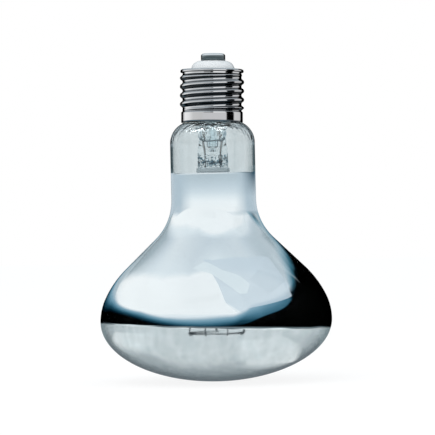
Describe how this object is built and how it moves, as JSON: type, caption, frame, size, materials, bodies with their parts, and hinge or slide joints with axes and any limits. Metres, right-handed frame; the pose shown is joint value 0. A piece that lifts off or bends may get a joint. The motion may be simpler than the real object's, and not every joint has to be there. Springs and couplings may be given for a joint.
{
  "type": "basking lamp",
  "caption": "Reflector bulb with a frosted face window, an inner mirror, an arc tube in series with a ballast filament, and a screw cap on its neck.",
  "frame": {"origin": "pole of the face, the lowest point of the bulb, on the lamp's axis", "axes": "+Z along the lamp's axis from the face to the cap, -Y towards the viewer of the picture"},
  "size_m": [0.095, 0.095, 0.1344],
  "materials": {
    "clear_glass": "clear, blown",
    "mirror_film": "mirror, evaporated on glass",
    "nickel_plate": "bright nickel plate on rolled sheet",
    "white_ceramic": "white, satin",
    "tinned_brass": "tinned, dull",
    "solder": "dull, flowed",
    "cement": "matt",
    "copper_wire": "drawn",
    "nickel_wire": "drawn, bright",
    "quartz": "clear, pinched",
    "tungsten": "drawn, grey",
    "molybdenum": "rolled, grey",
    "steatite": "matt, pressed"
  },
  "bodies": {
    "root": {"envelope": "clear_glass", "stem": "clear_glass", "exhaust_tube": "clear_glass", "reflector_coating": "mirror_film", "cap_shell": "nickel_plate", "cap_insulator": "white_ceramic", "end_contact": "tinned_brass", "contact_solder": "solder", "side_solder": "solder", "shell_cement": "cement", "contact_lead": "copper_wire", "shell_lead": "copper_wire", "press_seals": "copper_wire", "frame_rod": "nickel_wire", "feed_rod": "nickel_wire", "return_rod": "nickel_wire", "arc_tube": "quartz", "upper_electrode": "tungsten", "lower_electrode": "tungsten", "starting_electrode": "tungsten", "sealing_foils": "molybdenum", "arc_tube_leads": "molybdenum", "upper_strap": "nickel_wire", "lower_strap": "nickel_wire", "starting_resistor": "steatite", "resistor_leads": "nickel_wire", "filament_carrier": "steatite", "filament_hooks": "molybdenum", "ballast_filament": "tungsten"}
  },
  "joints": []
}
